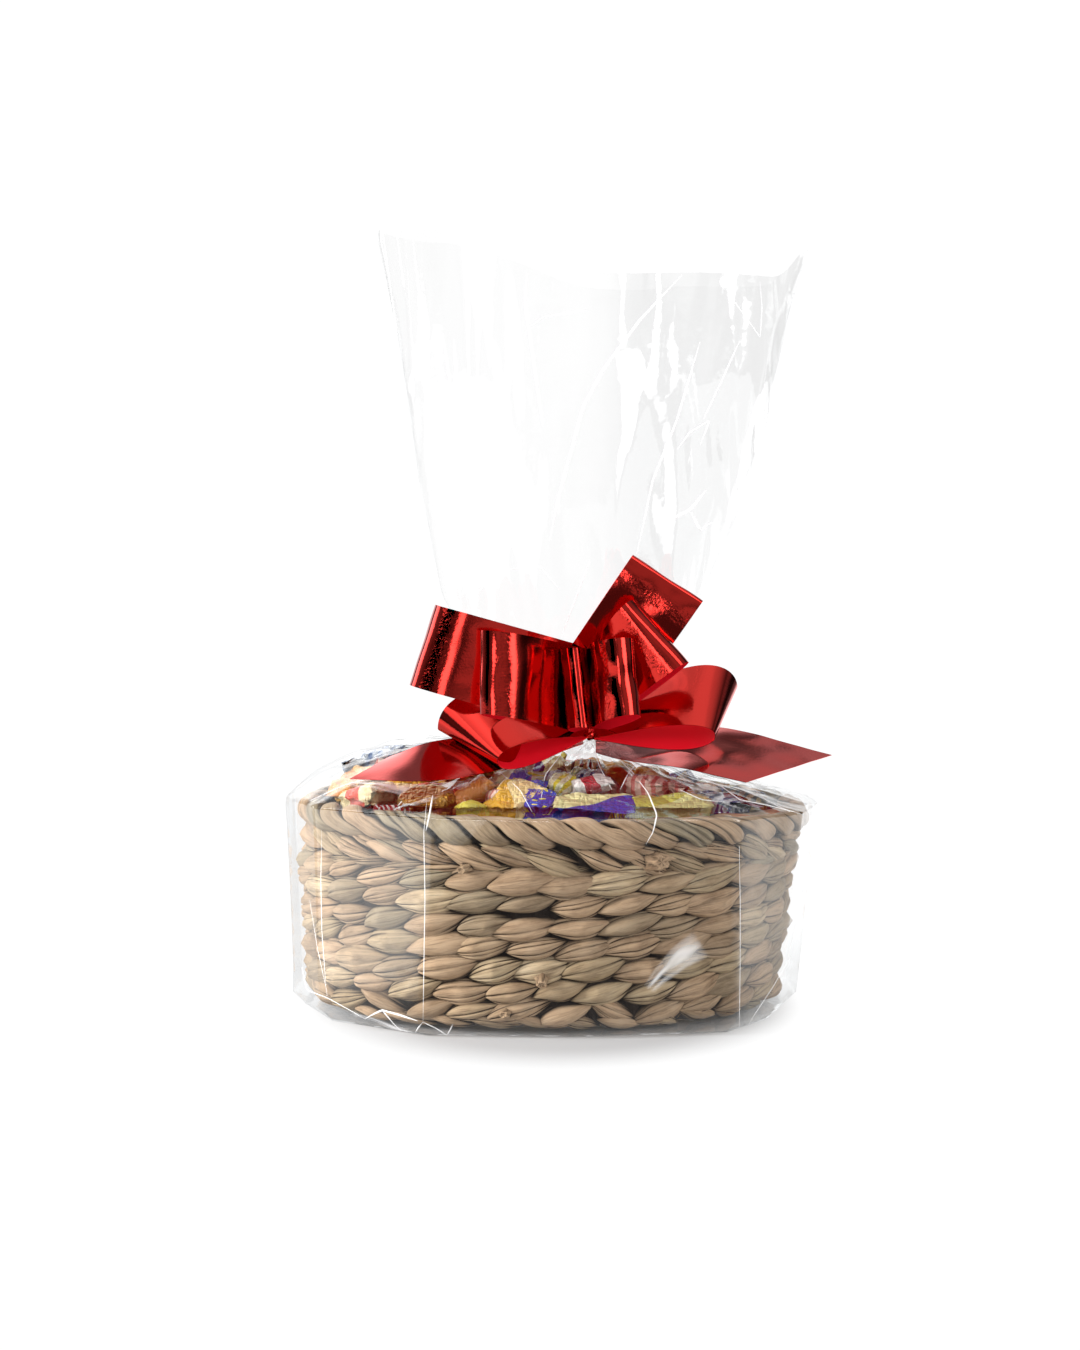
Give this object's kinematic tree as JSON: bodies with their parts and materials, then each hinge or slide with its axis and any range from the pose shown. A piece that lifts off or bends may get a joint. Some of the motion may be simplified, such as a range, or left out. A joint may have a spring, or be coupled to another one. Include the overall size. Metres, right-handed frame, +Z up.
{
  "type": "christmas gift basket",
  "caption": "Oval woven basket heaped with wrapped sweets, standing in a clear film bag that is gathered above them and tied with a red foil bow.",
  "frame": {"origin": "on the floor, under the middle of the basket's rim", "axes": "+Z up, -Y towards the front with the bow, +X to the right seen from the front"},
  "size_m": [0.3171, 0.23, 0.4552],
  "materials": {
    "woven_leaf": "matte",
    "sweet_wrappers": "gloss",
    "clear_film": "clear gloss",
    "red_foil": "metallised gloss"
  },
  "bodies": {
    "root": {"basket": "woven_leaf", "sweets_heap": "sweet_wrappers", "film_bag": "clear_film", "bow": "red_foil"}
  },
  "joints": []
}
